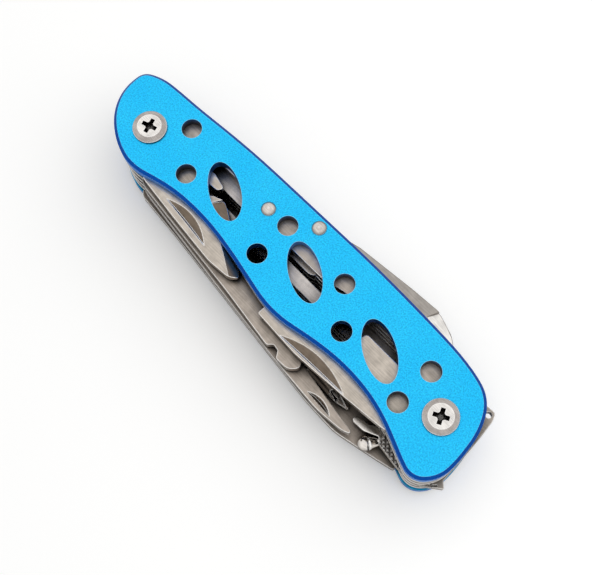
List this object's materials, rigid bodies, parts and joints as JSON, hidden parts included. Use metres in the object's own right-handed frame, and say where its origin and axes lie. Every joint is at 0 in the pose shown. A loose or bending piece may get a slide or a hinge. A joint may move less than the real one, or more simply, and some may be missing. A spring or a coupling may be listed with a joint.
{
  "type": "multi tool",
  "caption": "Folding pocket multi tool with pierced anodised scales, layered steel tools that fold out of a wavy handle, a spine awl and a key-ring lug.",
  "frame": {"origin": "Under the middle of the whole closed tool, on the plane through the lowest points of the back pivot heads that it lies on.", "axes": "+X runs along the handle from the head pivot to the tail pivot and the key-ring lug, +Y points to the spine, and +Z runs through the stack to the front scale."},
  "size_m": [0.0984, 0.029, 0.0182],
  "materials": {
    "blue_scale": "sandblasted and blue anodised",
    "blade_steel": "fine satin ground",
    "spring_steel": "tumbled",
    "liner_steel": "rolled and tumbled",
    "screw_steel": "bright turned"
  },
  "bodies": {
    "handle": {"front_scale": "blue_scale", "back_scale": "blue_scale", "liner_1": "liner_steel", "liner_2": "liner_steel", "liner_3": "liner_steel", "liner_4": "liner_steel", "back_spring_1": "spring_steel", "back_spring_2": "spring_steel", "back_spring_3": "spring_steel", "back_spring_4": "spring_steel", "back_spring_5": "spring_steel", "tail_plate": "liner_steel", "tail_spacer_2": "liner_steel", "tail_spacer_5": "liner_steel", "head_pivot_barrel": "screw_steel", "head_pivot_screw": "screw_steel", "tail_pivot_barrel": "screw_steel", "tail_pivot_screw": "screw_steel", "spring_rivet": "screw_steel", "awl_rivet": "screw_steel"},
    "small_blade": {"small_blade": "blade_steel"},
    "can_opener": {"can_opener": "blade_steel"},
    "slim_blade": {"slim_blade": "blade_steel"},
    "phillips_driver": {"phillips_driver": "blade_steel"},
    "large_blade": {"large_blade": "blade_steel"},
    "cap_lifter": {"cap_lifter": "blade_steel"},
    "pronged_hook": {"pronged_hook": "blade_steel"},
    "awl": {"awl": "blade_steel"}
  },
  "joints": [
    {"name": "small_blade_pivot", "type": "hinge", "parent": "handle", "child": "small_blade", "pos_m": [-0.03882, -0.00041, 0.0141], "axis": [0, 0, -1], "range_deg": [0, 180]},
    {"name": "can_opener_pivot", "type": "hinge", "parent": "handle", "child": "can_opener", "pos_m": [-0.03882, -0.00041, 0.0116], "axis": [0, 0, -1], "range_deg": [0, 180]},
    {"name": "slim_blade_pivot", "type": "hinge", "parent": "handle", "child": "slim_blade", "pos_m": [-0.03882, -0.00041, 0.0091], "axis": [0, 0, -1], "range_deg": [0, 180]},
    {"name": "phillips_driver_pivot", "type": "hinge", "parent": "handle", "child": "phillips_driver", "pos_m": [-0.03882, -0.00041, 0.0066], "axis": [0, 0, -1], "range_deg": [0, 180]},
    {"name": "large_blade_pivot", "type": "hinge", "parent": "handle", "child": "large_blade", "pos_m": [-0.03882, -0.00041, 0.0041], "axis": [0, 0, -1], "range_deg": [0, 180]},
    {"name": "cap_lifter_pivot", "type": "hinge", "parent": "handle", "child": "cap_lifter", "pos_m": [0.04018, -0.00041, 0.0141], "axis": [0, 0, 1], "range_deg": [0, 180]},
    {"name": "pronged_hook_pivot", "type": "hinge", "parent": "handle", "child": "pronged_hook", "pos_m": [0.04018, -0.00041, 0.0066], "axis": [0, 0, 1], "range_deg": [0, 150]},
    {"name": "awl_pivot", "type": "hinge", "parent": "handle", "child": "awl", "pos_m": [-0.00072, 0.00879, 0.0116], "axis": [0, 0, 1], "range_deg": [0, 90]}
  ]
}
